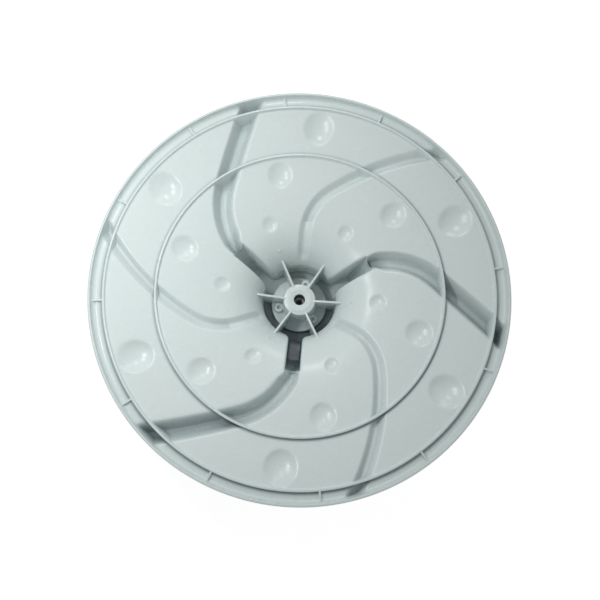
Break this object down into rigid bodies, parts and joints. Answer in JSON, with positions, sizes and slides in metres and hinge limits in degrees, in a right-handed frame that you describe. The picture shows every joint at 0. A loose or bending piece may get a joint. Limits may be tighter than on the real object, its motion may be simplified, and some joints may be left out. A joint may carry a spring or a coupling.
{
  "type": "washing machine agitator",
  "caption": "Low dished agitator disc for a washing machine, with curved hollow vanes, a deep hub well and a splined drive boss, seen from its drive side.",
  "frame": {"origin": "centre of the hub's flat wash face, at the bottom of the part as it lies on that face", "axes": "+Z along the drive axis, out of the dished side that meets the drive; +X and +Y across the disc, with the first fin 24 degrees from +X towards +Y"},
  "size_m": [0.3999, 0.4, 0.12],
  "materials": {
    "moulding": "pale grey-white injection-moulded plastic, smooth, slightly glossy",
    "bush": "dark sintered steel, dull",
    "cap": "pale grey-white injection-moulded plastic, smooth, slightly glossy"
  },
  "bodies": {
    "root": {"agitator_moulding": "moulding", "drive_bush": "bush", "centre_cap": "cap"}
  },
  "joints": []
}
